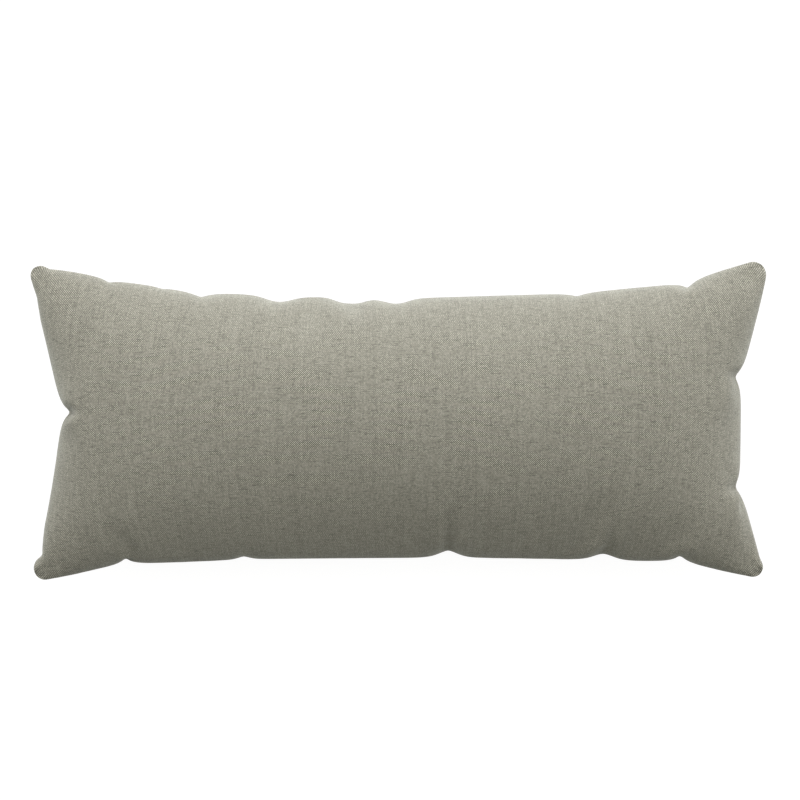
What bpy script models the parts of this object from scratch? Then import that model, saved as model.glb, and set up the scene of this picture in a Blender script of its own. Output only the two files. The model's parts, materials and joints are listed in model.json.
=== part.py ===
"""Outdoor lumbar cushion lying on its back: one stuffed body, with a crowned face, drawn-in
sides, blunt corner tips, a knife-edge seam all round and soft tucks along that seam.

Length runs along X, height along Y, and the face looks up along +Z. The origin is the middle
of the flat spot that the cushion rests on. Sizes are in metres."""
import math
from collections import namedtuple

import bpy
import numpy as np

MM = 0.001

# Cover: two rectangles of this size, sewn together round the edge.
CUT_LENGTH = 0.813
CUT_HEIGHT = 0.356

# Stuffed body: height of the seam above the surface, how much lower its corner tips hang, and
# how far the face rises above it and the back bulges below it. What would bulge through the
# surface is the flat spot, and the easing rounds the cloth down onto it.
SEAM_HEIGHT = 0.074
TIP_DROOP = 0.004
CROWN = 0.091
BELLY = 0.085
REST_EASING = 0.005

# Fullness of the two crowns. A larger power keeps the crown level for longer along that way,
# the edge power sets how steeply the cloth leaves the seam, and the tip power keeps the droop
# to the corners.
LENGTH_POWER = 5.0
HEIGHT_POWER = 2.0
EDGE_POWER = 0.6
TIP_POWER = 4

# How far inwards the small bends of the seam can still be felt in the cloth.
TUCK_REACH = 0.030

# Grid of each panel, with its lines closer together towards the seam, and the points worked
# out along the seam between two rows of its table and round the blunt end of a tip.
COLUMNS = 72
ROWS = 32
COLUMN_CROWDING = 1.30
ROW_CROWDING = 1.35
STRETCH_STEPS = 60
DIRECTION_STEPS = 20
ARC_STEPS = 24

COVER_COLOUR = (0.275, 0.268, 0.222, 1.0)
COVER_ROUGHNESS = 0.9

# The seam seen from above, clockwise from the neck of the top left tip, in millimetres from
# the middle of the cushion. Each row is a tuck, the neck of a corner tip or a slight bend:
# where the seam would run without the tuck, how far the tuck draws it in, over what run of the
# seam, and how sharply: 1 is a sharp tuck, 3 a flat soft dip. Bow is how far the run to the next row swells
# outwards. Crease and depth are the soft trough that goes on from the tuck into the cloth.
Tuck = namedtuple("Tuck", "x y dip run ease bow crease depth")
SEAM = (
    Tuck(-378.0, 164.2, 0.0, 1, 1.0, 1.7, 0, 0),
    Tuck(-313.0, 152.0, 2.7, 9, 1.2, 0.0, 25, 2.0),
    Tuck(-256.0, 144.0, 1.7, 8, 1.4, -0.6, 0, 0),
    Tuck(-213.5, 138.5, 5.0, 14, 1.3, 0, 45, 3.5),
    Tuck(-129.0, 134.5, 6.4, 20, 2.2, 0.4, 32, 2.5),
    Tuck(-53.0, 131.5, 5.2, 19, 3.0, -0.6, 24, 2.0),
    Tuck(-2.0, 131.5, 5.4, 17, 2.0, 0.0, 45, 2.5),
    Tuck(193.0, 137.3, 3.0, 12, 1.2, 0, 38, 3.0),
    Tuck(312.0, 148.5, 5.0, 9, 1.2, 0.6, 40, 4.5),
    Tuck(360.0, 165.5, 0.0, 1, 1.0, 0, 0, 0),
    Tuck(370.0, 47.0, 5.9, 11, 1.3, -0.5, 42, 6.0),
    Tuck(369.5, -71.0, 5.9, 11, 1.2, -0.6, 42, 6.0),
    Tuck(390.5, -149.0, 0.0, 1, 1.0, 0, 0, 0),
    Tuck(371.5, -167.3, 0.0, 1, 1.0, 0.2, 0, 0),
    Tuck(304.0, -151.0, 5.0, 9, 1.2, 0.7, 45, 5.0),
    Tuck(222.5, -150.5, 7.2, 17, 1.8, -0.9, 52, 4.5),
    Tuck(53.5, -148.0, 7.9, 15, 1.6, -0.2, 66, 5.0),
    Tuck(-167.5, -149.5, 3.1, 9, 1.5, 0.7, 28, 2.5),
    Tuck(-295.0, -154.3, 5.4, 9, 1.1, -0.5, 45, 5.0),
    Tuck(-346.5, -165.2, 0.0, 1, 1.0, 0, 0, 0),
    Tuck(-385.0, -146.0, 0.0, 1, 1.0, 0.4, 0, 0),
    Tuck(-381.9, -113.0, 0.0, 1, 1.0, -1.7, 0, 0),
    Tuck(-364.0, 9.0, 8.2, 10, 1.1, -0.5, 45, 6.0),
    Tuck(-386.3, 107.7, 0.0, 1, 1.0, 0.0, 0, 0),
    Tuck(-390.7, 134.2, 0.0, 1, 1.0, 0, 0, 0),
)
# Corner tips, in millimetres: the row of the seam table just before each one, the middle of
# its blunt end and that end's radius. Top left, top right, bottom right, bottom left.
Tip = namedtuple("Tip", "row x y radius")
TIPS = (
    Tip(24, -386.4, 156.6, 11.0),
    Tip(9, 382.0, 157.3, 14.7),
    Tip(12, 382.5, -157.5, 11.0),
    Tip(19, -380.8, -158.6, 12.8),
)

# A crease widens as it runs in, and it is at full depth from this share of its length on.
CREASE_WIDTH = 0.013
CREASE_START = 0.25

# Edges of the mesh that turn more than this stay crisp, which is the seam.
CRISP_ANGLE = math.radians(38)


def clear_scene():
    for thing in list(bpy.data.objects):
        bpy.data.objects.remove(thing, do_unlink=True)


def tip_path(start, tip, end):
    """From one neck of a corner tip, round its blunt end and on to the other neck."""
    middle = np.array([tip.x, tip.y])
    turns = []
    for neck, side in ((start, -1), (end, 1)):
        away = np.array(neck) - middle
        reach = math.acos(tip.radius / np.hypot(*away))
        turns.append(math.atan2(away[1], away[0]) + side * reach)
    if turns[0] < turns[1]:
        turns[0] += 2 * math.pi
    angles = np.linspace(turns[0], turns[1], ARC_STEPS)
    arc = middle + tip.radius * np.c_[np.cos(angles), np.sin(angles)]
    return np.vstack([[start], arc, [end]])


def bowed_path(start, bow, end):
    """A run of the seam from one row of the table to the next, with a slight bow outwards."""
    share = np.linspace(0.0, 1.0, ARC_STEPS)[:, None]
    start, end = np.array(start), np.array(end)
    along = (end - start) / np.hypot(*(end - start))
    out = np.array([-along[1], along[0]])
    return start + (end - start) * share + out * bow * 4 * share * (1 - share)


def even_points(path, count):
    """Points at even distances along a path, without its last one."""
    walked = np.concatenate([[0.0], np.cumsum(np.hypot(*np.diff(path, axis=0).T))])
    at = np.linspace(0.0, walked[-1], count, endpoint=False)
    return np.c_[np.interp(at, walked, path[:, 0]), np.interp(at, walked, path[:, 1])]


def seam_line():
    """The whole seam as one closed line, and the index in it of each row and each tip."""
    tip_after = {tip.row: tip for tip in TIPS}
    stretches = []
    for row, tuck in enumerate(SEAM):
        start = (tuck.x, tuck.y)
        after = SEAM[(row + 1) % len(SEAM)]
        end = (after.x, after.y)
        if row in tip_after:
            path = tip_path(start, tip_after[row], end)
        else:
            path = bowed_path(start, tuck.bow, end)
        stretches.append(even_points(path, STRETCH_STEPS))
    free = np.vstack(stretches)
    rows = [row * STRETCH_STEPS for row in range(len(SEAM))]
    walked = np.concatenate([[0.0], np.cumsum(np.hypot(*np.diff(free, axis=0).T))])
    around = walked[-1] + np.hypot(*(free[0] - free[-1]))
    line = free.copy()
    for tuck, row in zip(SEAM, rows):
        distance = abs(walked - walked[row])
        distance = np.minimum(distance, around - distance)
        draw = tuck.dip * np.exp(-(distance / tuck.run) ** tuck.ease)
        line += draw[:, None] * inward(free, row)
    tips = [int(np.argmax(line @ np.sign([tip.x, tip.y]))) for tip in TIPS]
    return line * MM, rows, tips


def inward(line, row):
    """Direction at right angles to the seam, into the cushion, at one row of the table."""
    before = line[(row - DIRECTION_STEPS) % len(line)]
    after = line[(row + DIRECTION_STEPS) % len(line)]
    along = (after - before) / np.hypot(*(after - before))
    return np.array([along[1], -along[0]])


def side_points(line, start, end, reverse):
    """The seam between two tips, and how far along it each point is, from 0 to 1."""
    count = len(line)
    index = np.arange(start, end + (count if end < start else 0) + 1) % count
    if reverse:
        index = index[::-1]
    side = line[index]
    walked = np.concatenate([[0.0], np.cumsum(np.hypot(*np.diff(side, axis=0).T))])
    return side, walked / walked[-1], index


def crowded(count, crowding):
    """Grid positions from 0 to 1 that stand closer together towards both ends."""
    t = np.linspace(-1.0, 1.0, count + 1)
    return 0.5 + 0.5 * np.sin(crowding * t) / math.sin(crowding)


def grid_side(side, walked, index, rows, grid):
    """The side at the grid's positions, moved so that each tuck falls on a grid line."""
    tucks = [walked[np.where(index == row)[0][0]] for row in rows if row in index]
    nearest = [int(np.argmin(abs(grid - tuck))) for tuck in tucks]
    moves = {0: 0.0, len(grid) - 1: 0.0}
    for place, tuck in zip(nearest, tucks):
        if place not in moves:
            moves[place] = tuck - grid[place]
    places = sorted(moves)
    shift = np.interp(np.arange(len(grid)), places, [moves[place] for place in places])
    at = grid + shift
    return np.c_[np.interp(at, walked, side[:, 0]), np.interp(at, walked, side[:, 1])]


def broad_side(edge, grid):
    """The same side without its tucks: an even bow between its two tips."""
    start, end = edge[0], edge[-1]
    chord = start + grid[:, None] * (end - start)
    hump = 1.0 - (2.0 * grid - 1.0) ** 2
    bow = (hump[:, None] * (edge - chord)).sum(axis=0) / (hump ** 2).sum()
    return chord + hump[:, None] * bow


def panel_plan(line, rows, tips):
    """Plan of a panel: an array of points, columns along X by rows along Y."""
    top_left, top_right, bottom_right, bottom_left = tips
    u = crowded(COLUMNS, COLUMN_CROWDING)
    v = crowded(ROWS, ROW_CROWDING)
    top = grid_side(*side_points(line, top_left, top_right, False), rows, u)
    right = grid_side(*side_points(line, top_right, bottom_right, True), rows, v)
    bottom = grid_side(*side_points(line, bottom_right, bottom_left, True), rows, u)
    left = grid_side(*side_points(line, bottom_left, top_left, False), rows, v)
    broad = [broad_side(edge, grid) for edge, grid in ((top, u), (right, v), (bottom, u), (left, v))]
    # The broad sides are blended across the panel, and then each side's tucks are added to
    # the cloth near it.
    across = u[:, None, None]
    up = v[None, :, None]
    ruled_up = broad[2][:, None] * (1 - up) + broad[0][:, None] * up
    ruled_across = broad[3][None] * (1 - across) + broad[1][None] * across
    corners = ((1 - across) * (1 - up) * bottom[0] + across * (1 - up) * bottom[-1]
               + (1 - across) * up * top[0] + across * up * top[-1])
    plan = ruled_up + ruled_across - corners
    from_side = ((1 - v) * CUT_HEIGHT, (1 - u) * CUT_LENGTH, v * CUT_HEIGHT, u * CUT_LENGTH)
    fade = [np.exp(-distance / TUCK_REACH) for distance in from_side]
    plan += (top - broad[0])[:, None] * fade[0][None, :, None]
    plan += (right - broad[1])[None] * fade[1][:, None, None]
    plan += (bottom - broad[2])[:, None] * fade[2][None, :, None]
    plan += (left - broad[3])[None] * fade[3][:, None, None]
    return plan, u, v


def fullness(u, v):
    """How full the body is over the plan: 0 at the seam and 1 in the middle."""
    length = (1 - abs(2 * u - 1) ** LENGTH_POWER) ** EDGE_POWER
    height = (1 - abs(2 * v - 1) ** HEIGHT_POWER) ** EDGE_POWER
    return length[:, None] * height[None, :]


def seam_level(u, v):
    """Height of the seam: level along the sides, and a little lower at the tips."""
    along = (2 * u[:, None] - 1) ** TIP_POWER
    up = (2 * v[None, :] - 1) ** TIP_POWER
    return SEAM_HEIGHT - TIP_DROOP * along * up


def settle(height):
    """Flattens what would lie below the surface, and eases the cloth down onto it."""
    above = np.maximum(height, 0.0)
    easing = REST_EASING * (1 - np.minimum(above / SEAM_HEIGHT, 1.0))
    return above ** 2 / (above + easing)


def surface_normals(grid):
    along = np.gradient(grid, axis=0)
    up = np.gradient(grid, axis=1)
    normal = np.cross(along, up)
    return normal / np.linalg.norm(normal, axis=2, keepdims=True)


def add_creases(grid, line, rows, inwards):
    """Presses in the soft trough that runs from each tuck towards the middle of the panel.

    Inwards is the way from this panel's side into the cushion: -1 for the face, 1 for the
    back, because both grids share one turning sense."""
    normal = surface_normals(grid) * inwards
    press = np.zeros(grid.shape[:2])
    for tuck, row in zip(SEAM, rows):
        if tuck.depth == 0:
            continue
        here = line[row]
        into = inward(line, row)
        along = np.array([-into[1], into[0]])
        offset = grid[:, :, :2] - here
        depth = offset @ into
        across = offset @ along
        length = tuck.crease * MM
        run = np.clip(depth / (CREASE_START * length), 0, 1) * np.exp(-(depth / length) ** 2)
        width = CREASE_WIDTH * (1 + np.clip(depth / length, 0, 2))
        press += tuck.depth * MM * run * np.exp(-(across / width) ** 2)
    return grid + normal * press[:, :, None]


def cushion_mesh():
    """Face and back panels on one plan, joined along the seam, which both grids share."""
    line, rows, tips = seam_line()
    plan, u, v = panel_plan(line, rows, tips)
    middle = (plan.min(axis=(0, 1)) + plan.max(axis=(0, 1))) / 2
    plan -= middle
    line -= middle
    full = fullness(u, v)
    level = seam_level(u, v)
    face = np.dstack([plan, level + CROWN * full])
    back = np.dstack([plan, level - BELLY * full])
    face = add_creases(face, line, rows, -1.0)
    back = add_creases(back, line, rows, 1.0)
    back[:, :, 2] = np.where(full > 0, settle(back[:, :, 2]), level)
    columns, levels = face.shape[:2]
    face_number = np.arange(columns * levels).reshape(columns, levels)
    back_number = face_number.copy()
    inner = columns * levels + np.arange((columns - 2) * (levels - 2))
    back_number[1:-1, 1:-1] = inner.reshape(columns - 2, levels - 2)
    points = np.vstack([face.reshape(-1, 3), back[1:-1, 1:-1].reshape(-1, 3)])
    faces = []
    for i in range(columns - 1):
        for j in range(levels - 1):
            ring = ((i, j), (i + 1, j), (i + 1, j + 1), (i, j + 1))
            faces.append([int(face_number[place]) for place in ring])
            faces.append([int(back_number[place]) for place in reversed(ring)])
    mesh = bpy.data.meshes.new("cushion")
    mesh.from_pydata(points.tolist(), [], faces)
    mesh.validate()
    mesh.shade_smooth()
    mesh.set_sharp_from_angle(angle=CRISP_ANGLE)
    return mesh


def cover_material():
    material = bpy.data.materials.new("cover_cloth")
    material.use_nodes = True
    shader = material.node_tree.nodes["Principled BSDF"]
    shader.inputs["Base Color"].default_value = COVER_COLOUR
    shader.inputs["Roughness"].default_value = COVER_ROUGHNESS
    shader.inputs["Metallic"].default_value = 0.0
    return material


def build():
    clear_scene()
    cushion = bpy.data.objects.new("cushion", cushion_mesh())
    cushion.data.materials.append(cover_material())
    bpy.context.scene.collection.objects.link(cushion)


build()
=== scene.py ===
# %% [markdown]
# An outdoor lumbar cushion, lying on its back with its face to the camera. The real one is two
# rectangles of woven cloth, sewn together round the edge, turned right side out and stuffed.
# This lesson makes it the same way: it cuts the two panels, sews them along the seam that the
# stuffed cushion has, and lets Blender's cloth simulation find how the filling rounds them.
# Everything is in metres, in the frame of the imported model.

import json
import math
import time
from collections import namedtuple

import bpy
import numpy as np
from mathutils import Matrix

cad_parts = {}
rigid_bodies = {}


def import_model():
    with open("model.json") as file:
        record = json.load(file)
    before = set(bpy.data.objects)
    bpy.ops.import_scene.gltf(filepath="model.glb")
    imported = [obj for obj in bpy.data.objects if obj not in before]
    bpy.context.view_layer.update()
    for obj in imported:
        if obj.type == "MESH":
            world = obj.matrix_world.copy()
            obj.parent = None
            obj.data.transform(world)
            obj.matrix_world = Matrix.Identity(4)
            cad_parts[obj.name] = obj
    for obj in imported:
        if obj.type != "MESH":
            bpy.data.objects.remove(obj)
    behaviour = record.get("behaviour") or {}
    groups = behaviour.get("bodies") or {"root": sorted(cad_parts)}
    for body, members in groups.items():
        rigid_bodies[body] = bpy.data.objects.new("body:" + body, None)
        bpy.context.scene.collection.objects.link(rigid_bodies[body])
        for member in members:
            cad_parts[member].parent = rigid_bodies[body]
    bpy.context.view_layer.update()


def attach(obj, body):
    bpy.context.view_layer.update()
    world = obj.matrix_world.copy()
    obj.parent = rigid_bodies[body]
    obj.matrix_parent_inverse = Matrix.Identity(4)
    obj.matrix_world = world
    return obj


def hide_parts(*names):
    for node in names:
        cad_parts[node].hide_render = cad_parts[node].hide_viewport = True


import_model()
MM = 0.001

# %% [markdown]
# The cover is cut from cloth as two equal rectangles. Their size sets everything else: how far
# the cushion can swell, and where the threads of the weave run. Their corners are sewn with a
# small curve, so that the tips turn out blunt. A cushion like this could be pulled out of a
# box with a subdivision surface, but then the threads would not follow the cloth. The powers
# say how squarely the crown and the tips fall off.

# %% Sizes of the cover
CUT_LENGTH = 0.813
CUT_HEIGHT = 0.356
CORNER_CURVE = 0.012

SEAM_HEIGHT = 0.074
TIP_DROOP = 0.004
TIP_POWER = 4
CROWN = 0.091
BELLY = 0.085
LENGTH_POWER = 5.0
HEIGHT_POWER = 2.0
EDGE_POWER = 0.6
WAIST_SHARE = 0.81
print("cover cut, mm:", CUT_LENGTH / MM, "x", CUT_HEIGHT / MM)

# %% [markdown]
# Seen from above, the seam isn't straight. It bows in along each side, because the filling
# takes up cloth there, and it has small tucks, where the stitching gathers the cloth. The
# corner tips stay out, with a neck on each side. The table gives the seam in millimetres from
# the middle, clockwise from the top left tip: where it would run without the tuck, how far the
# tuck draws it in, over what run, and how sharply. Bow is how far the run to the next row
# swells outwards. Crease and depth are the length and the depth of the soft trough that goes
# on from the tuck into the cloth. A row with no dip only bends the line.

# %% The seam, tuck by tuck
Tuck = namedtuple("Tuck", "x y dip run ease bow crease depth",
                  defaults=(0.0, 1, 1.0, 0.0, 0, 0))
SEAM = (
    Tuck(-378.0, 164.2, bow=1.7),
    Tuck(-313.0, 152.0, 2.7, 9, 1.2, 0.0, 25, 2.0),
    Tuck(-256.0, 144.0, 1.7, 8, 1.4, -0.6),
    Tuck(-213.5, 138.5, 5.0, 14, 1.3, 0, 45, 3.5),
    Tuck(-129.0, 134.5, 6.4, 20, 2.2, 0.4, 32, 2.5),
    Tuck(-53.0, 131.5, 5.2, 19, 3.0, -0.6, 24, 2.0),
    Tuck(-2.0, 131.5, 5.4, 17, 2.0, 0.0, 45, 2.5),
    Tuck(193.0, 137.3, 3.0, 12, 1.2, 0, 38, 3.0),
    Tuck(312.0, 148.5, 5.0, 9, 1.2, 0.6, 40, 4.5),
    Tuck(360.0, 165.5),
    Tuck(370.0, 47.0, 5.9, 11, 1.3, -0.5, 42, 6.0),
    Tuck(369.5, -71.0, 5.9, 11, 1.2, -0.6, 42, 6.0),
    Tuck(390.5, -149.0),
    Tuck(371.5, -167.3, bow=0.2),
    Tuck(304.0, -151.0, 5.0, 9, 1.2, 0.7, 45, 5.0),
    Tuck(221.0, -150.5, 6.8, 16, 1.8, -0.3, 52, 6.0),
    Tuck(53.5, -148.0, 7.9, 15, 1.6, -0.2, 66, 7.0),
    Tuck(-167.5, -149.5, 3.1, 9, 1.5, 0.7, 28, 2.5),
    Tuck(-295.0, -154.3, 5.4, 9, 1.1, -0.5, 38, 3.0),
    Tuck(-346.5, -165.2),
    Tuck(-385.0, -146.0, bow=0.4),
    Tuck(-381.9, -113.0, bow=-1.7),
    Tuck(-364.0, 9.0, 8.2, 10, 1.1, -0.5, 45, 6.0),
    Tuck(-386.3, 107.7),
    Tuck(-390.7, 134.2),
)
# The row just before each tip, the middle of its blunt end and that end's radius.
Tip = namedtuple("Tip", "row x y radius")
TIPS = (
    Tip(24, -387.5, 157.1, 11.0),
    Tip(9, 383.3, 157.7, 14.7),
    Tip(12, 383.4, -158.6, 11.0),
    Tip(19, -382.2, -159.8, 12.8),
)
print("tucks, necks and bends along the seam:", len(SEAM), "corner tips:", len(TIPS))

# %% [markdown]
# The free seam is drawn first, from neck to neck, with a straight run and an arc round each
# blunt tip. Then each tuck pulls its part of the line inwards, with a bell curve whose sharpness
# is in the table. One closed line of even points comes out, which the four sides are read from.

# %% Draw the seam line
STRETCH_STEPS = 60
DIRECTION_STEPS = 20
ARC_STEPS = 24


def tip_path(start, tip, end):
    """From one neck of a corner tip, round its blunt end and on to the other neck."""
    middle = np.array([tip.x, tip.y])
    turns = []
    for neck, side in ((start, -1), (end, 1)):
        away = np.array(neck) - middle
        reach = math.acos(tip.radius / np.hypot(*away))
        turns.append(math.atan2(away[1], away[0]) + side * reach)
    if turns[0] < turns[1]:
        turns[0] += 2 * math.pi
    angles = np.linspace(turns[0], turns[1], ARC_STEPS)
    arc = middle + tip.radius * np.c_[np.cos(angles), np.sin(angles)]
    return np.vstack([[start], arc, [end]])


def bowed_path(start, bow, end):
    """From one row of the table to the next, with a slight bow outwards."""
    share = np.linspace(0.0, 1.0, ARC_STEPS)[:, None]
    start, end = np.array(start), np.array(end)
    along = (end - start) / np.hypot(*(end - start))
    out = np.array([-along[1], along[0]])
    return start + (end - start) * share + out * bow * 4 * share * (1 - share)


def walk(path):
    """Distance along a path at each of its points."""
    return np.concatenate([[0.0], np.cumsum(np.hypot(*np.diff(path, axis=0).T))])


def points_at(distance, walked, path):
    """Points of a path at these distances along it."""
    return np.c_[np.interp(distance, walked, path[:, 0]), np.interp(distance, walked, path[:, 1])]


def even_points(path, count):
    """Points at even distances along a path, without its last one."""
    walked = walk(path)
    return points_at(np.linspace(0.0, walked[-1], count, endpoint=False), walked, path)


def inward(line, row):
    """Direction at right angles to the seam, into the cushion, at one row of the table."""
    before = line[(row - DIRECTION_STEPS) % len(line)]
    after = line[(row + DIRECTION_STEPS) % len(line)]
    along = (after - before) / np.hypot(*(after - before))
    return np.array([along[1], -along[0]])


def seen_from(row, points):
    """How far points lie into the cushion from a row of the seam, and how far to the side."""
    into = inward(seam, row)
    offset = points[:, :2] - seam[row]
    return offset @ into, offset @ [-into[1], into[0]]


def seam_line():
    """The whole seam as one closed line, and the index in it of each row and each tip."""
    tip_after = {tip.row: tip for tip in TIPS}
    stretches = []
    for row, (tuck, after) in enumerate(zip(SEAM, SEAM[1:] + SEAM[:1])):
        start, end = (tuck.x, tuck.y), (after.x, after.y)
        if row in tip_after:
            path = tip_path(start, tip_after[row], end)
        else:
            path = bowed_path(start, tuck.bow, end)
        stretches.append(even_points(path, STRETCH_STEPS))
    free = np.vstack(stretches)
    rows = [row * STRETCH_STEPS for row in range(len(SEAM))]
    walked = walk(free)
    around = walked[-1] + np.hypot(*(free[0] - free[-1]))
    line = free.copy()
    for tuck, row in zip(SEAM, rows):
        distance = abs(walked - walked[row])
        distance = np.minimum(distance, around - distance)
        draw = tuck.dip * np.exp(-(distance / tuck.run) ** tuck.ease)
        line += draw[:, None] * inward(free, row)
    tips = [int(np.argmax(line @ np.sign([tip.x, tip.y]))) for tip in TIPS]
    return line * MM, rows, tips


seam, seam_rows, seam_tips = seam_line()
seam -= (seam.min(axis=0) + seam.max(axis=0)) / 2
print("seam outline, mm:", np.round(np.ptp(seam, axis=0) / MM, 1), "points:", len(seam))

# %% [markdown]
# Each panel is a mesh of nearly square quads, about as big as the smallest fold of this cloth,
# with their edges along the threads. A plain grid would leave single faces pinched at the
# corner tips. So a grid fills the middle, and a few rings of quads follow the seam round it.
# Each vertex gets its place on the flat cut and its place in a unit square, which the stuffed
# shape is worked out from.

# %% Lay out the panel
CUT = np.array([CUT_LENGTH, CUT_HEIGHT])
COLUMNS = 150
ROWS = 64
CROWDING = 1.0
RING_SHARES = (0.0, 1 / 3, 2 / 3)
RING_DEPTH = 0.015


def crowded(count):
    """Grid lines from 0 to 1 that stand closer together towards both ends."""
    t = np.linspace(-1.0, 1.0, count + 1)
    return 0.5 + 0.5 * np.sin(CROWDING * t) / math.sin(CROWDING)


COLUMN_LINES = crowded(COLUMNS)
ROW_LINES = crowded(ROWS)


def corner_round(square):
    """Points on the cut's edge, with the corners of the rectangle taken round a small curve."""
    flat = (square - 0.5) * CUT
    half = CUT / 2
    sign = np.sign(flat)
    inset = (half - abs(flat)).clip(0, CORNER_CURVE)
    near = 1 - inset / CORNER_CURVE
    rounded = near * np.sqrt(1 - near[:, ::-1] ** 2 / 2)
    return sign * np.where(near > 0, half - CORNER_CURVE * (1 - rounded), abs(flat))


def loop_of(columns, rows):
    """Grid places once round a grid, anticlockwise from its lower left corner."""
    lower = [(i, 0) for i in range(columns)]
    right = [(columns, j) for j in range(rows)]
    upper = [(i, rows) for i in range(columns, 0, -1)]
    left = [(0, j) for j in range(rows, 0, -1)]
    return lower + right + upper + left


def panel_layout(ring_shares):
    """Unit-square and flat places of a panel's vertices, its quads, and the seam's vertices.

    Each share says how far a ring stands from the seam, on the way to the grid. The seam's
    vertices come first, then those of the other rings, and then the grid."""
    loop = loop_of(COLUMNS, ROWS)
    margin = RING_DEPTH / CUT
    i, j = np.array(loop).T
    edge = np.c_[COLUMN_LINES[i], ROW_LINES[j]]
    inner = margin + edge * (1 - 2 * margin)
    edge_flat = corner_round(edge)
    inner_flat = (inner - 0.5) * CUT
    square = []
    flat = []
    for share in ring_shares:
        square.append(edge + (inner - edge) * share)
        flat.append(edge_flat + (inner_flat - edge_flat) * share)
    places = np.array([(i, j) for i in range(COLUMNS + 1) for j in range(ROWS + 1)])
    i, j = places.T
    grid = margin + np.c_[COLUMN_LINES[i], ROW_LINES[j]] * (1 - 2 * margin)
    square.append(grid)
    flat.append((grid - 0.5) * CUT)
    count = len(loop)
    first = len(ring_shares) * count
    number = {(i, j): first + i * (ROWS + 1) + j for i, j in places.tolist()}
    rings = [[ring * count + k for k in range(count)] for ring in range(len(ring_shares))]
    rings.append([number[place] for place in loop])
    quads = []
    for outer, within in zip(rings, rings[1:]):
        for k in range(count):
            after = (k + 1) % count
            quads.append((outer[k], outer[after], within[after], within[k]))
    for i in range(COLUMNS):
        for j in range(ROWS):
            quads.append((number[i, j], number[i + 1, j], number[i + 1, j + 1], number[i, j + 1]))
    return np.vstack(square), np.vstack(flat), quads, count


square, flat, quads, seam_count = panel_layout(RING_SHARES)
print("panel:", len(square), "vertices,", len(quads), "quads,", seam_count, "of them on the seam")

# %% [markdown]
# Now the panel is bent to the stuffed shape. In plan, the four sides of the seam are blended
# across it, and the small tucks are only felt near the edge. A point on the flat cut lies
# further out on the stuffed cushion than its share of the width, because the cloth climbs
# steeply from the seam, so each place is first moved by the length of the arc.

# %% Bend the panel to the stuffed plan
TUCK_REACH = 0.030
ARC_SAMPLES = 2001
Side = namedtuple("Side", "line walked lines moves")


def side_path(start, end, reverse, grid_lines):
    """The seam between two tips, how far along it each point is, from 0 to 1, and the moves
    that bring one of the grid's lines to each tuck."""
    index = np.arange(start, end + (len(seam) if end < start else 0) + 1) % len(seam)
    index = index[::-1] if reverse else index
    walked = walk(seam[index])
    walked /= walked[-1]
    place_of = dict(zip(index.tolist(), walked))
    tucks = sorted(place_of[row] for tuck, row in zip(SEAM, seam_rows)
                   if tuck.dip > 0 and row in place_of)
    tucks = [0.0] + tucks + [1.0]
    lines = [grid_lines[abs(grid_lines - tuck).argmin()] for tuck in tucks]
    moves = [tuck - line for tuck, line in zip(tucks, lines)]
    return Side(seam[index], walked, lines, moves)


def along_side(path, share):
    """Places on a side at these shares of it, with each tuck on its own grid line."""
    at = share + np.interp(share, path.lines, path.moves)
    return points_at(at, path.walked, path.line)


def broad_side(path, share):
    """The same side without its tucks: an even bow between its two tips."""
    side, walked = path.line, path.walked
    hump = 1 - (2 * walked - 1) ** 2
    chord = side[0] + walked[:, None] * (side[-1] - side[0])
    bow = (hump[:, None] * (side - chord)).sum(axis=0) / (hump ** 2).sum()
    humps = (1 - (2 * share - 1) ** 2)[:, None]
    return side[0] + share[:, None] * (side[-1] - side[0]) + humps * bow


def profile(share, power):
    """Fullness along one way: 0 at the seam and 1 in the middle."""
    return (1 - abs(2 * share - 1).clip(0, 1) ** power) ** EDGE_POWER


def arc_share(width, power):
    """Share of the width that a share of the cloth reaches, on the arc over that width."""
    share = np.linspace(0, 1, ARC_SAMPLES)
    walked = walk(np.c_[share * width, CROWN * profile(share, power)])
    return share, walked / walked[-1]


top_left, top_right, bottom_right, bottom_left = seam_tips
SIDES = {
    "top": side_path(top_left, top_right, False, COLUMN_LINES),
    "right": side_path(top_right, bottom_right, True, ROW_LINES),
    "bottom": side_path(bottom_right, bottom_left, True, COLUMN_LINES),
    "left": side_path(bottom_left, top_left, False, ROW_LINES),
}


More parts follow.
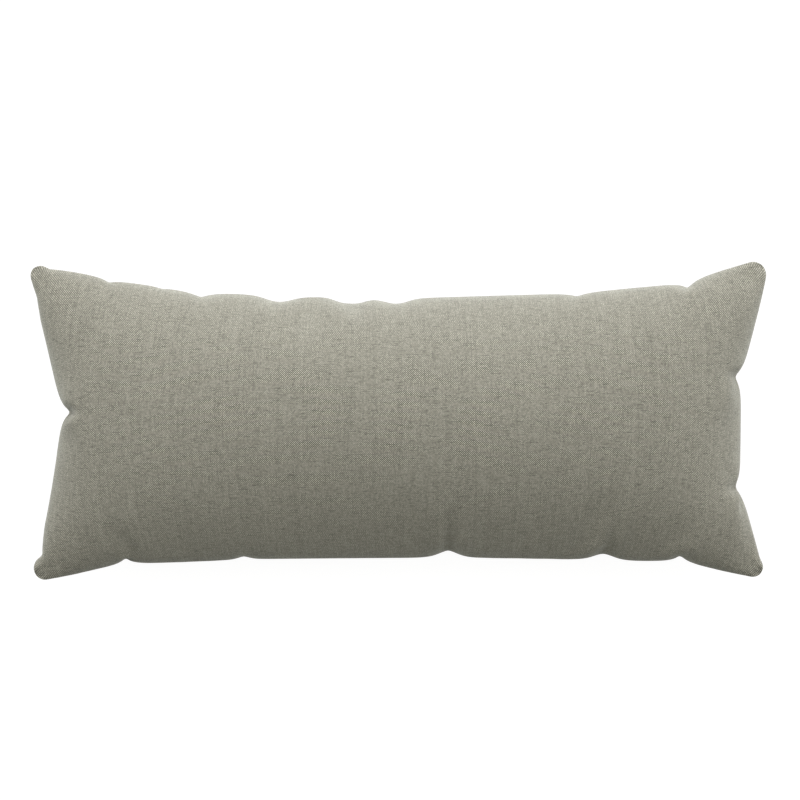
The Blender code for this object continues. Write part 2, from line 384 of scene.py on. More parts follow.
def stuffed_place(square):
    """Plan and fullness of each point of the unit square on the stuffed cushion."""
    u, v = square.T
    mid_height = np.ptp(seam[:, 1]) * WAIST_SHARE
    u_share, u_cloth = arc_share(np.ptp(seam[:, 0]), LENGTH_POWER)
    v_share, v_cloth = arc_share(mid_height, HEIGHT_POWER)
    u_mid = np.interp(u, u_cloth, u_share)
    v_mid = np.interp(v, v_cloth, v_share)
    p = u + (u_mid - u) * profile(v, HEIGHT_POWER)
    q = v + (v_mid - v) * profile(u, LENGTH_POWER)
    share = {"top": p, "bottom": p, "left": q, "right": q}
    broad = {name: broad_side(path, share[name]) for name, path in SIDES.items()}
    real = {name: along_side(path, share[name]) for name, path in SIDES.items()}
    a, b = p[:, None], q[:, None]
    bottom, top = SIDES["bottom"].line, SIDES["top"].line
    plan = broad["bottom"] * (1 - b) + broad["top"] * b
    plan += broad["left"] * (1 - a) + broad["right"] * a
    plan -= (bottom[0] * (1 - a) * (1 - b) + bottom[-1] * a * (1 - b)
             + top[0] * (1 - a) * b + top[-1] * a * b)
    distance = {"top": (1 - v) * CUT_HEIGHT, "bottom": v * CUT_HEIGHT,
                "left": u * CUT_LENGTH, "right": (1 - u) * CUT_LENGTH}
    for name in SIDES:
        fade = np.exp(-distance[name] / TUCK_REACH)[:, None]
        plan += (real[name] - broad[name]) * fade
    full = profile(p, LENGTH_POWER) * profile(q, HEIGHT_POWER)
    droop = TIP_DROOP * abs(2 * p - 1) ** TIP_POWER * abs(2 * q - 1) ** TIP_POWER
    return plan, full, SEAM_HEIGHT - droop


plan, full, level = stuffed_place(square)
plan -= (plan.min(axis=0) + plan.max(axis=0)) / 2
print("stuffed plan, mm:", np.round(np.ptp(plan, axis=0) / MM, 1))

# %% [markdown]
# Face and back are two such panels on the same plan, one domed up and one down, with the
# seam's vertices in common, so the body is closed from the start and nothing has to be merged.

# %% Sew the two panels
def new_object(name, data):
    made = bpy.data.objects.new(name, data)
    bpy.context.scene.collection.objects.link(made)
    return made


def sew(name, face, back, quads):
    """One closed body of both panels, and the vertex numbers of the back panel in it."""
    points = np.vstack([face, back[seam_count:]])
    number = np.arange(len(back)) + len(face) - seam_count
    number[:seam_count] = np.arange(seam_count)
    back_quads = [tuple(int(number[k]) for k in reversed(quad)) for quad in quads]
    mesh = bpy.data.meshes.new(name)
    mesh.from_pydata(points.tolist(), [], quads + back_quads)
    mesh.validate()
    return mesh, number


face = np.c_[plan, level + CROWN * full]
back = np.c_[plan, level - BELLY * full]
mesh, back_number = sew("sewn_cover", face, back, quads)
cushion = new_object("cushion_cover", mesh)
print("sewn body:", len(mesh.vertices), "vertices,", len(mesh.polygons), "quads")

# %% [markdown]
# From some tucks a soft trough goes on into the cloth. It widens as it runs in and fades out,
# so it is pressed in with one bell curve across it and one along it.

# %% Press in the creases of the tucks
CREASE_WIDTH = 0.013
CREASE_START = 0.25


def read(items, name="co"):
    """One vector for each of these items, such as the places of vertices."""
    values = np.empty(len(items) * 3)
    items.foreach_get(name, values)
    return values.reshape(-1, 3)


def write_points(mesh, points):
    mesh.vertices.foreach_set("co", points.ravel())
    mesh.update()


def crease_depth(points):
    """How far the creases press in the cloth at each point of the plan."""
    press = np.zeros(len(points))
    for tuck, row in zip(SEAM, seam_rows):
        if tuck.depth == 0:
            continue
        depth, across = seen_from(row, points)
        length = tuck.crease * MM
        run = np.clip(depth / (CREASE_START * length), 0, 1) * np.exp(-(depth / length) ** 2)
        width = CREASE_WIDTH * (1 + np.clip(depth / length, 0, 2))
        press += tuck.depth * MM * run * np.exp(-(across / width) ** 2)
    return press


start = read(mesh.vertices)
press = crease_depth(start)
start -= read(mesh.vertex_normals, "vector") * press[:, None]
write_points(mesh, start)
print("deepest crease, mm:", round(press.max() / MM, 1))

# %% [markdown]
# The filling pushes the cloth out with the same pressure everywhere, and the cloth hardly
# stretches, so it swells until its arcs hold the pressure. The cloth simulation takes the first
# frame's lengths as those of the cloth at rest, so the first frame is the flat cut. A shape key
# draws the seam in over the next frames, where it is pinned, and holds the rest of the cloth
# loosely to the stuffed shape. The wrinkles that come out are sharper than those of this thick
# cloth, so the move of each point is evened out a little with that of its neighbours.

# %% Let the filling round the cloth
SIM_FRAMES = 24
SEAM_FRAMES = 8
PRESSURE = 20.0
STRETCH_STIFFNESS = 1.0
SHEAR_STIFFNESS = 0.3
BEND_STIFFNESS = 10.0
VERTEX_MASS = 0.01
HOLD = 0.05
SIM_STEPS = 8
MOST_MOVED = 0.022
SOFTENING_PASSES = 6


def add_stuffing_keys(piece, flat_points, stuffed_points):
    """The flat cut on frame 1, and the stuffed shape once the seam is drawn in."""
    piece.data.vertices.foreach_set("co", flat_points.ravel())
    piece.shape_key_add(name="flat_cut")
    key = piece.shape_key_add(name="stuffed")
    key.data.foreach_set("co", stuffed_points.ravel())
    for value, number in ((0.0, 1), (1.0, 1 + SEAM_FRAMES)):
        key.value = value
        key.keyframe_insert("value", frame=number)


def hold_group(piece):
    """Pins the seam, and holds the rest of the cloth a little."""
    group = piece.vertex_groups.new(name="held")
    group.add(list(range(len(piece.data.vertices))), HOLD, "REPLACE")
    group.add(list(range(seam_count)), 1.0, "REPLACE")
    return group


def stuff(piece, flat_points, stuffed_points):
    """Runs the cloth simulation on the sewn body and returns where its points come to rest."""
    add_stuffing_keys(piece, flat_points, stuffed_points)
    cloth = piece.modifiers.new("stuffing", "CLOTH")
    settings = cloth.settings
    settings.quality = SIM_STEPS
    settings.mass = VERTEX_MASS
    settings.tension_stiffness = settings.compression_stiffness = STRETCH_STIFFNESS
    settings.shear_stiffness = SHEAR_STIFFNESS
    settings.bending_stiffness = BEND_STIFFNESS
    settings.use_pressure = True
    settings.uniform_pressure_force = PRESSURE
    settings.effector_weights.gravity = 0.0
    settings.vertex_group_mass = hold_group(piece).name
    cloth.collision_settings.use_collision = False
    cloth.point_cache.frame_end = SIM_FRAMES
    for number in range(1, SIM_FRAMES + 1):
        bpy.context.scene.frame_set(number)
    graph = bpy.context.evaluated_depsgraph_get()
    result = read(piece.evaluated_get(graph).data.vertices)
    bpy.context.scene.frame_set(1)
    piece.modifiers.remove(cloth)
    piece.shape_key_clear()
    return result


def softened(mesh, moved, passes):
    """Each point's move, evened out with its neighbours'. The seam stays where it is."""
    edges = np.empty(len(mesh.edges) * 2, int)
    mesh.edges.foreach_get("vertices", edges)
    ends = edges.reshape(-1, 2)
    count = np.bincount(edges, minlength=len(moved))[:, None]
    for _ in range(passes):
        total = np.zeros_like(moved)
        np.add.at(total, ends[:, 0], moved[ends[:, 1]])
        np.add.at(total, ends[:, 1], moved[ends[:, 0]])
        moved = (moved + total / count) / 2
        moved[:seam_count] = 0
    return moved


flat_points = np.zeros_like(start)
flat_points[:len(flat), :2] = flat
flat_points[back_number, :2] = flat
began = time.perf_counter()
points = start
moved = softened(mesh, stuff(cushion, flat_points, start) - start, SOFTENING_PASSES)
far = np.linalg.norm(moved, axis=1)
points = start + moved * np.minimum(1, MOST_MOVED / far.clip(MM))[:, None]
print("cloth moved, mm: mean", round(far.mean() / MM, 1), "most", round(far.max() / MM, 1))
print("simulation took", round(time.perf_counter() - began, 1), "s")

# %% [markdown]
# Lying down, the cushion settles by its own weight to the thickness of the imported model, and
# its back goes flat where it rests. The height of each panel is scaled to its crown, and the
# part of the back that would sink through the surface is eased on to it.

# %% Settle on the surface
REST_EASING = 0.005
RESTING_BELOW = 0.0003


def settled(points):
    """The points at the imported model's thickness, with the flat spot that they rest on."""
    height = points[:, 2] - SEAM_HEIGHT
    height[height > 0] *= CROWN / height.max()
    height[height < 0] *= -BELLY / height.min()
    level = SEAM_HEIGHT + height
    above = np.maximum(level, 0.0)
    easing = REST_EASING * (1 - np.minimum(above / SEAM_HEIGHT, 1.0))
    lower = np.where(height < 0, above ** 2 / (above + easing).clip(1e-9), level)
    return np.c_[points[:, :2], lower]


points = settled(points)
resting = points[:, 2] < RESTING_BELOW
print("flat spot, mm:", np.round(np.ptp(points[resting, :2], axis=0) / MM))

# %% [markdown]
# The filling has pushed the cloth of the two ends out past the seam. On the real cushion the
# edge that shows from above is the seam itself, with its tucks. So the cloth behind it is drawn
# in, by as much as it stands past the seam for a camera straight above: first as a smooth
# move that dies out towards the middle, and then for the single points that still stand out.

# %% Draw the cloth in behind the seam
CAMERA_DISTANCE = 2.6
DRAW_MARGIN = 0.0002
DRAW_REACH = 0.055
DRAW_SMOOTHING = 0.030
DRAW_SOFTNESS = 0.0006


def outward_along_seam(loop):
    """Direction out of the cushion in plan at each vertex of the seam."""
    along = np.roll(loop, -1, axis=0) - np.roll(loop, 1, axis=0)
    out = np.c_[along[:, 1], -along[:, 0]]
    return out / np.linalg.norm(out, axis=1, keepdims=True)


def squared_distance(places, loop):
    """Between each of these places and each vertex of the seam."""
    return (places ** 2).sum(axis=1)[:, None] + (loop ** 2).sum(axis=1) - 2 * places @ loop.T


def past_the_seam(points, loop, out):
    """For each point, the nearest vertex of the seam and how far it is seen to stand past it."""
    scale = CAMERA_DISTANCE / (CAMERA_DISTANCE + SEAM_HEIGHT - points[:, 2])
    seen = points[:, :2] * scale[:, None]
    nearest = squared_distance(seen, loop).argmin(axis=1)
    return nearest, ((seen - loop[nearest]) * out[nearest]).sum(axis=1)


def spread_along(loop, value, width):
    """A value along the seam, evened out over a width of it."""
    walked = walk(loop)
    around = walked[-1] + np.linalg.norm(loop[0] - loop[-1])
    apart = abs(walked[:, None] - walked)
    apart = np.minimum(apart, around - apart)
    weight = np.exp(-(apart / width) ** 2)
    return weight @ value / weight.sum(axis=1)


def drawn_in(points):
    """The points, moved in behind the seam where they stand past it."""
    points = points.copy()
    loop = points[:seam_count, :2].copy()
    out = outward_along_seam(loop)
    cloth = points[seam_count:]
    nearest, past = past_the_seam(cloth, loop, out)
    stands = np.zeros(seam_count)
    np.maximum.at(stands, nearest, past + DRAW_MARGIN)
    draw = spread_along(loop, stands, DRAW_SMOOTHING)
    fade = np.exp(-(np.minimum(past, 0) / DRAW_REACH) ** 2)
    cloth[:, :2] -= out[nearest] * (draw[nearest] * fade)[:, None]
    nearest, past = past_the_seam(cloth, loop, out)
    inside = -past - DRAW_MARGIN
    kept = DRAW_SOFTNESS * np.logaddexp(0, inside / DRAW_SOFTNESS)
    cloth[:, :2] -= out[nearest] * (kept - inside)[:, None]
    print("cloth past the seam, mm:", round(stands.max() / MM, 1),
          "drawn in smoothly:", round(draw.max() / MM, 1))
    return points


points = drawn_in(points)

# %% [markdown]
# Inside the edge lie the seam's own folded margins, which hold the cloth up next to it. So the
# cover stands a little fuller there than the filling alone would make it. In the corner tips
# the margins of two sides meet and the filling is pushed in hard, so these are fuller still,
# but for their blunt ends, which stay thin.

# %% Fill out the rim
RIM_FULLNESS = 0.0020
RIM_REACH = 0.008
TIP_FULLNESS = 0.0030
TIP_FULL_REACH = 0.015
TIP_START = 0.026
TIP_RUN = 0.055


def rim_filled(points):
    """The points near the seam, raised on the face and lowered on the back."""
    points = points.copy()
    loop = points[:seam_count, :2]
    cloth = points[seam_count:]
    apart = np.sqrt(squared_distance(cloth[:, :2], loop).min(axis=1).clip(0))
    near_tip = np.zeros(len(cloth))
    for tip in TIPS:
        away = ((cloth[:, :2] - np.array([tip.x, tip.y]) * MM) ** 2).sum(axis=1)
        near_tip += np.exp(-away / TIP_RUN ** 2) - np.exp(-away / TIP_START ** 2)
    raised = np.zeros(len(cloth))
    for fullness, reach in ((RIM_FULLNESS, RIM_REACH), (TIP_FULLNESS * near_tip, TIP_FULL_REACH)):
        raised += fullness * apart / reach * np.exp(1 - apart / reach)
    cloth[:, 2] += np.sign(cloth[:, 2] - SEAM_HEIGHT) * raised
    return points


points = rim_filled(points)
print("rim filled out by, mm:", RIM_FULLNESS / MM, "and by the tips", TIP_FULLNESS / MM, "more")

# %% [markdown]
# The edge is a plain seam, turned right side out after sewing. It shows as a fine groove
# between two soft lips, gathered a little by the stitches. A narrow ring is added to each
# panel for the lip, and the seam between them is drawn in. Rounding the mesh, which comes
# later, takes off a part of every bend, so the bends near the seam are sharpened for it.

# %% Turn the seam
LIP_SHARE = 0.10
LIP_RINGS = (0.0, LIP_SHARE) + RING_SHARES[1:]
LIP_SWELL = 0.0002
LIP_OUT = 0.0008
SEAM_SINK = 0.0009
ROUNDING_LOSS = 0.20
GATHER = 0.0003
GATHER_RUNS = (0.011, 0.017, 0.029)
GATHER_SHIFT = 0.37
GATHERED_LIP = 0.5


def spoke_points(points, number):
    """Rings of a panel as an array of rings by places on the seam."""
    rings = len(RING_SHARES)
    return points[number[:rings * seam_count]].reshape(rings, seam_count, 3)


def sharpened(loop):
    """Loops along the seam, with each bend drawn out by as much as the rounding takes off."""
    bend = np.roll(loop, 1, axis=-2) + np.roll(loop, -1, axis=-2) - 2 * loop
    return loop - bend * ROUNDING_LOSS


def gathers(loop):
    """Small uneven waves along the seam, from -1 to 1."""
    walked = walk(loop[:, :2])
    around = walked[-1] + np.linalg.norm(loop[0] - loop[-1])
    wave = np.zeros(len(loop))
    for order, run in enumerate(GATHER_RUNS):
        turns = round(around / run)
        wave += np.sin(2 * math.pi * (walked / around * turns + GATHER_SHIFT * order))
    return wave / len(GATHER_RUNS)


def with_lip(points, number, swell):
    """A panel's points with one more ring close to the seam, which swells up or down."""
    rings = sharpened(spoke_points(points, number))
    share = LIP_SHARE / RING_SHARES[1]
    lip = rings[0] + (rings[1] - rings[0]) * share
    lip[:, :2] += outward_along_seam(rings[0]) * LIP_OUT
    lip[:, 2] += swell * LIP_SWELL * (1 + GATHERED_LIP * gathers(rings[0]))
    middle = points[number[len(RING_SHARES) * seam_count:]]
    return np.vstack([rings[0], lip, *rings[1:], middle])


face_number = np.arange(len(flat))
face = with_lip(points, face_number, 1.0)
back = with_lip(points, back_number, -1.0)
loop = face[:seam_count]
sink = SEAM_SINK + GATHER * gathers(loop)
loop[:, :2] -= outward_along_seam(loop) * sink[:, None]
back[:seam_count] = loop
square, flat, quads, seam_count = panel_layout(LIP_RINGS)
bpy.data.objects.remove(cushion)
mesh, back_number = sew("cushion_cover", face, back, quads)
print("cover with its seam:", len(mesh.vertices), "vertices,", len(mesh.polygons), "quads")

# %% [markdown]
# The weave is drawn on the flat cut, so that one thread is the same size everywhere and runs
# on round the bends. For that each panel gets its flat place as a UV map in metres, the back
# below the face. Only at the corner tips does the seam pull the cloth on the bias, and its
# threads spread there, along the diagonal of the corner or across it. A second map has the
# same two panels inside the unit square, for anyone who bakes the cloth to a picture. A third
# one says how far each place is from the seam; the groove's painted shade is made from it.

# %% Map the cut
CUT_GAP = 0.02
BAKE_MARGIN = 0.01
BAKE_BACK = 0.04
BAKE_FACE = 0.51
TIP_REACH = 0.030
TIP_FADE = 0.150
Pull = namedtuple("Pull", "x y along across")
TIP_PULLS = (Pull(-1, 1, 0.0, 0.25), Pull(1, 1, 0.0, 0.20), Pull(1, -1, 0.40, 0.0),
             Pull(-1, -1, 0.30, 0.12))


def spread_at_tips(flat):
    """The flat cut with the threads spread at the corner tips, by the shares of each pull."""
    spread = flat.copy()
    for pull in TIP_PULLS:
        outwards = np.array([pull.x, pull.y])
        inwards = -outwards / math.sqrt(2)
        across = np.array([-inwards[1], inwards[0]])
        corner = outwards * CUT / 2
        t, s = (flat - corner) @ inwards, (flat - corner) @ across
        fade = TIP_REACH * np.exp(-(t / TIP_FADE) ** 2)
        spread -= (pull.along * np.tanh(t / TIP_REACH) * fade)[:, None] * inwards
        spread -= (pull.across * np.tanh(s / TIP_REACH) * fade)[:, None] * across
    return spread


def corner_places(face_places, back_places):
    """Map places of every corner of every face, in the order that the mesh has them."""
    corners = [face_places[k] for quad in quads for k in quad]
    corners += [back_places[k] for quad in quads for k in reversed(quad)]
    return np.array(corners, np.float32).ravel()


cut = spread_at_tips(flat) + CUT / 2
cut_map = mesh.uv_layers.new(name="cut")
cut_map.data.foreach_set("uv", corner_places(cut, cut * [1, -1] - [0, CUT_GAP]))
bake = (flat + CUT / 2) * (1 - 2 * BAKE_MARGIN) / CUT_LENGTH + [BAKE_MARGIN, 0]
bake_map = mesh.uv_layers.new(name="OFBake")
bake_map.data.foreach_set("uv", corner_places(bake + [0, BAKE_FACE], bake + [0, BAKE_BACK]))
apart = np.full((len(flat), 2), RING_DEPTH)
for ring, share in enumerate(LIP_RINGS):
    apart[ring * seam_count:(ring + 1) * seam_count] = share * RING_DEPTH
seam_map = mesh.uv_layers.new(name="seam")
seam_map.data.foreach_set("uv", corner_places(apart, apart))
print("UV maps:", [layer.name for layer in mesh.uv_layers])

# %% [markdown]
# A subdivision modifier rounds the cover. It could stay on the piece, but the pinches of the
# next step are finer than the sewn mesh, so its result becomes the mesh itself.

# %% Round the cover
SUBDIVISION_LEVELS = 1

cushion = new_object("cushion_cover", mesh)
rounding = cushion.modifiers.new("rounding", "SUBSURF")
rounding.levels = SUBDIVISION_LEVELS
rounding.use_limit_surface = False
graph = bpy.context.evaluated_depsgraph_get()
mesh = bpy.data.meshes.new_from_object(cushion.evaluated_get(graph))
cushion.modifiers.remove(rounding)
cushion.data = mesh
mesh.shade_smooth()
print("rounded cover:", len(mesh.polygons) * 2, "triangles, maps:",
      [layer.name for layer in mesh.uv_layers])

# %% [markdown]
# At the three tucks of the short ends the stitches hold the cloth down to the seam, so a short
# narrow pit starts there and dies out within a thumb's width. Its far wall is in shade and its
# near wall in the light. Holding the cloth down takes away a share of its height, so that the
# outline keeps its shape. From two tucks of the lower side a narrow fold runs up the face. It
# gets deeper towards the seam, so its floor looks away from the light and shows as a dark
# streak.

# %% Pinch the cloth at the tucks
# The keys are rows of the seam table. A pinch takes this share of the height at the tuck. A
# fold leans to the right where its lean is below 0.
PINCHES = {10: 0.60, 11: 0.70, 22: 0.85}
PINCH_LENGTH = 0.009
PINCH_WIDTH = 0.005
Fold = namedtuple("Fold", "depth length lean")
FOLDS = {15: Fold(0.010, 0.056, -0.34), 16: Fold(0.010, 0.070, -0.06)}
FOLD_WIDTH = 0.0065
FOLD_POWER = 1.3
FOLD_LIMIT = 0.3


def pinched(points):
    """Share of their height over the seam that the tucks take from these points."""
    taken = np.zeros(len(points))
    for number, share in PINCHES.items():
        depth, across = seen_from(seam_rows[number], points)
        taken += share * np.exp(-(depth / PINCH_LENGTH) ** 2 - (across / PINCH_WIDTH) ** 2)
    return taken


def folded(points):
    """How deep the narrow folds press in the face at these points."""
    press = np.zeros(len(points))
    for number, fold in FOLDS.items():
        depth, across = seen_from(seam_rows[number], points)
        run = np.clip(1 - np.clip(depth, 0, None) / fold.length, 0, 1) ** FOLD_POWER
        press += fold.depth * run * np.exp(-((across - fold.lean * depth) / FOLD_WIDTH) ** 2)
    return np.minimum(press, FOLD_LIMIT * np.clip(points[:, 2] - SEAM_HEIGHT, 0, None))


points = read(mesh.vertices)
press = pinched(points) * (points[:, 2] - SEAM_HEIGHT) + folded(points)
points[:, 2] -= press
write_points(mesh, points)
print("deepest pinch, mm:", round(press.max() / MM, 1))

# %% [markdown]
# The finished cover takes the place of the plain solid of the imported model. It rides on the
# one body there is, and it is named as padding, so that it counts as soft and filled.

# %% Put the cover in place of the solid
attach(cushion, "root")
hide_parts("cushion")
print("in place:", cushion.name)

# %% [markdown]
# The cloth is a plain weave of two yarns about a millimetre thick: a light one along the
# height of the cushion and a darker one along its length, each going over one and under one.
# Both are spun unevenly. A picture would show this at one scale only, so it is worked out
# from the thread numbers with shader nodes. First come a few helpers that keep that short.

# %% Helpers for shader nodes
def add(tree, kind, **settings):
    """A new node of this kind."""
    made = tree.nodes.new(kind)
    for name, value in settings.items():
        setattr(made, name, value)
    return made


def set_inputs(node, values):
    for label, value in values.items():
        node.inputs[label].default_value = value


def feed(tree, socket, value):
    """Links a socket to another one, or sets its value."""
    if isinstance(value, bpy.types.NodeSocket):
        tree.links.new(value, socket)
    else:
        socket.default_value = value


def sums(tree, operation, *values, clamp=False):
    """One Math node on these values or sockets."""
    made = add(tree, "ShaderNodeMath", operation=operation, use_clamp=clamp)
    for socket, value in zip(made.inputs, values):
        feed(tree, socket, value)
    return made.outputs["Value"]


def soft_step(tree, value, start, end, low, high):
    """A value that goes softly from low to high where another one goes from start to end."""
    made = add(tree, "ShaderNodeMapRange", interpolation_type="SMOOTHSTEP")
    feed(tree, made.inputs["Value"], value)
    set_inputs(made, {"From Min": start, "From Max": end, "To Min": low, "To Max": high})
    return made.outputs["Result"]


def part_of(tree, vector, axis):
    """One part, X, Y or Z, of a vector socket."""
    split = add(tree, "ShaderNodeSeparateXYZ")
    feed(tree, split.inputs["Vector"], vector)
    return split.outputs[axis]


print("node helpers: add, feed, sums, soft_step, part_of")

# %% [markdown]
# One set of parallel yarns is the same effect twice, across and along, so it is a node group
# with named sockets. It gets the place across and along the yarns, counted in threads. The
# number of the yarn is the whole part across. The yarn is round, and it rises and dips once
# for each yarn that it crosses, half a turn later than its neighbour. Shade is how light it
# is: each float catches the light in its own way, and the yarn is spun unevenly, with some
# yarns lighter over their whole length.

# %% Group: one set of yarns
# Neighbouring yarns read the slub noise this far apart, so that they differ.
YARNS_APART = 7.31


def new_group(name, inputs, outputs):
    """A node group with these values for inputs, and the sockets inside it."""
    group = bpy.data.node_groups.new(name, "ShaderNodeTree")
    for label, value in inputs:
        socket = group.interface.new_socket(label, in_out="INPUT", socket_type="NodeSocketFloat")
        socket.default_value = value
    for label in outputs:
        group.interface.new_socket(label, in_out="OUTPUT", socket_type="NodeSocketFloat")
    return group, add(group, "NodeGroupInput").outputs, add(group, "NodeGroupOutput").inputs


def triple(tree, x, y, z):
    made = add(tree, "ShaderNodeCombineXYZ")
    for socket, value in zip(made.inputs, (x, y, z)):
        feed(tree, socket, value)
    return made.outputs["Vector"]


def soft_noise(tree, place):
    noise = add(tree, "ShaderNodeTexNoise")
    set_inputs(noise, {"Scale": 1.0, "Detail": 1.0})
    feed(tree, noise.inputs["Vector"], place)
    return noise.outputs["Fac"]


def random_value(tree, place):
    noise = add(tree, "ShaderNodeTexWhiteNoise")
    feed(tree, noise.inputs["Vector"], place)
    return noise.outputs["Value"]


def spread_out(tree, value, spread, base):
    """Adds a value from 0 to 1 to a base, as a spread about its middle."""
    middle = sums(tree, "SUBTRACT", value, 0.5)
    return sums(tree, "MULTIPLY_ADD", middle, spread, base)


def yarn_group():
    group, given, result = new_group(
        "yarn_set",
        (("Across", 0.0), ("Along", 0.0), ("Crossing", 0.0), ("Width", 0.95), ("Seed", 0.0),
         ("Float spread", 0.45), ("Slub run", 6.0), ("Slub spread", 0.5), ("Yarn spread", 0.15)),
        ("Height", "Shade"),
    )
    number = sums(group, "FLOOR", given["Across"])
    inside = sums(group, "SUBTRACT", sums(group, "FRACT", given["Across"]), 0.5)
    off = sums(group, "DIVIDE", inside, sums(group, "MULTIPLY", given["Width"], 0.5))
    bulge = sums(group, "SUBTRACT", 1.0, sums(group, "MULTIPLY", off, off), clamp=True)
    turn = sums(group, "SUBTRACT", given["Along"], sums(group, "ADD", number, 0.5))
    turn = sums(group, "MULTIPLY", sums(group, "ADD", turn, given["Crossing"]), math.pi)
    height = sums(group, "ADD", sums(group, "SQRT", bulge), sums(group, "COSINE", turn))
    feed(group, result["Height"], sums(group, "MULTIPLY", height, 0.5))
    step = sums(group, "FLOOR", given["Along"])
    floats = random_value(group, triple(group, number, step, given["Seed"]))
    yarn = random_value(group, triple(group, number, 0.5, given["Seed"]))
    run = sums(group, "DIVIDE", given["Along"], given["Slub run"])
    apart = sums(group, "MULTIPLY", number, YARNS_APART)
    slub = soft_noise(group, triple(group, run, apart, given["Seed"]))
    shade = spread_out(group, floats, given["Float spread"], 1.0)
    shade = spread_out(group, slub, given["Slub spread"], shade)
    feed(group, result["Shade"], spread_out(group, yarn, given["Yarn spread"], shade))
    return group


yarn_set = yarn_group()
print("group:", yarn_set.name, "with", len(yarn_set.nodes), "nodes")

# %% [markdown]
# Here and there a yarn is spun thick. A thick weft shows as a short dark fleck along the
# length, one or two threads high, and a thick warp as a short light one along the height. Both
# come from one group: noise that is drawn out along the yarn and cut off near its top.

# %% Group: flecks
def fleck_group():
    group, given, result = new_group(
        "flecks",
        (("Across", 0.0), ("Along", 0.0), ("Run", 7.0), ("Thickness", 1.5), ("Level", 0.6),
         ("Edge", 0.08), ("Seed", 0.0)),
        ("Mask",),
    )
    place = triple(group, sums(group, "DIVIDE", given["Along"], given["Run"]),
                   sums(group, "DIVIDE", given["Across"], given["Thickness"]), given["Seed"])
    over = sums(group, "SUBTRACT", soft_noise(group, place), given["Level"])
    feed(group, result["Mask"], sums(group, "DIVIDE", over, given["Edge"], clamp=True))
    return group


flecks = fleck_group()
print("group:", flecks.name, "with", len(flecks.nodes), "nodes")

# %% [markdown]
# The weave lays two sets over each other. Whichever yarn stands higher is the one that is
# seen, so the same heights give the colours, the bump, and painted shade in the gaps between
# yarns. The threads of a real cloth wander by a fraction of a thread, which a slow noise on
# the map does.
# In the groove of the seam the colour is darkened, as painted shade for the little light that
# gets in there. Outdoor yarn is dull and slightly hairy, hence the rough surface and the weak
# sheen.

# %% Material: the woven cover
WARP_PITCH = 0.001045
WEFT_PITCH = 0.00114
WANDER = 0.0003
WANDER_RUN = 0.016
WANDER_LENGTH = 0.080
ON_TOP_SHARPNESS = 6.0
WARP_COLOUR = (0.492, 0.478, 0.402, 1.0)
WEFT_COLOUR = (0.130, 0.1265, 0.1025, 1.0)
FLECK_DARK = 0.35
FLECK_LIGHT = 0.18
# How far the colour is darkened in the low gaps between yarns: painted shade.
GAP_PAINTED_SHADE = 0.55
# How far the colour is darkened in the seam's groove, and between which distances from the seam
# that fades out: painted shade.
GROOVE_PAINTED_SHADE = 0.45
GROOVE_EDGES = (0.0003, 0.0014)
# The Mix node has its own sockets A, B and Result for each kind, which only numbers tell apart.
MIX_SOCKETS = {"RGBA": (6, 7, 2), "FLOAT": (2, 3, 0)}
SURFACE = {"Roughness": 0.85, "Specular IOR Level": 0.25, "Sheen Weight": 0.36,
           "Sheen Roughness": 0.5, "Sheen Tint": (0.94, 0.965, 0.91, 1.0)}


def mix(tree, kind, share, first, second):
    """Mixes two colours (kind RGBA) or two values (kind FLOAT)."""
    made = add(tree, "ShaderNodeMix", data_type=kind)
    a, b, result = MIX_SOCKETS[kind]
    feed(tree, made.inputs["Factor"], share)
    feed(tree, made.inputs[a], first)
    feed(tree, made.inputs[b], second)
    return made.outputs[result]


def wandered(tree, cut_place, axis, pitch):
    """Place across one set of yarns, in threads, where their spacing drifts a little."""
    scale = (1 / WANDER_RUN, 1 / WANDER_LENGTH, 0.0) if axis == "X" else (
        1 / WANDER_LENGTH, 1 / WANDER_RUN, 0.0)
    stretched = add(tree, "ShaderNodeVectorMath", operation="MULTIPLY")
    feed(tree, stretched.inputs[0], cut_place)
    feed(tree, stretched.inputs[1], scale)
    noise = soft_noise(tree, stretched.outputs["Vector"])
    counted = sums(tree, "DIVIDE", part_of(tree, cut_place, axis), pitch)
    return spread_out(tree, noise, 2 * WANDER / pitch, counted)


def place_group(tree, group, across, along, **values):
    """One copy of a group, at this place, with its own values. Names have _ for a space."""
    made = add(tree, "ShaderNodeGroup", node_tree=group)
    feed(tree, made.inputs["Across"], across)
    feed(tree, made.inputs["Along"], along)
    set_inputs(made, {label.replace("_", " "): value for label, value in values.items()})
    return made.outputs


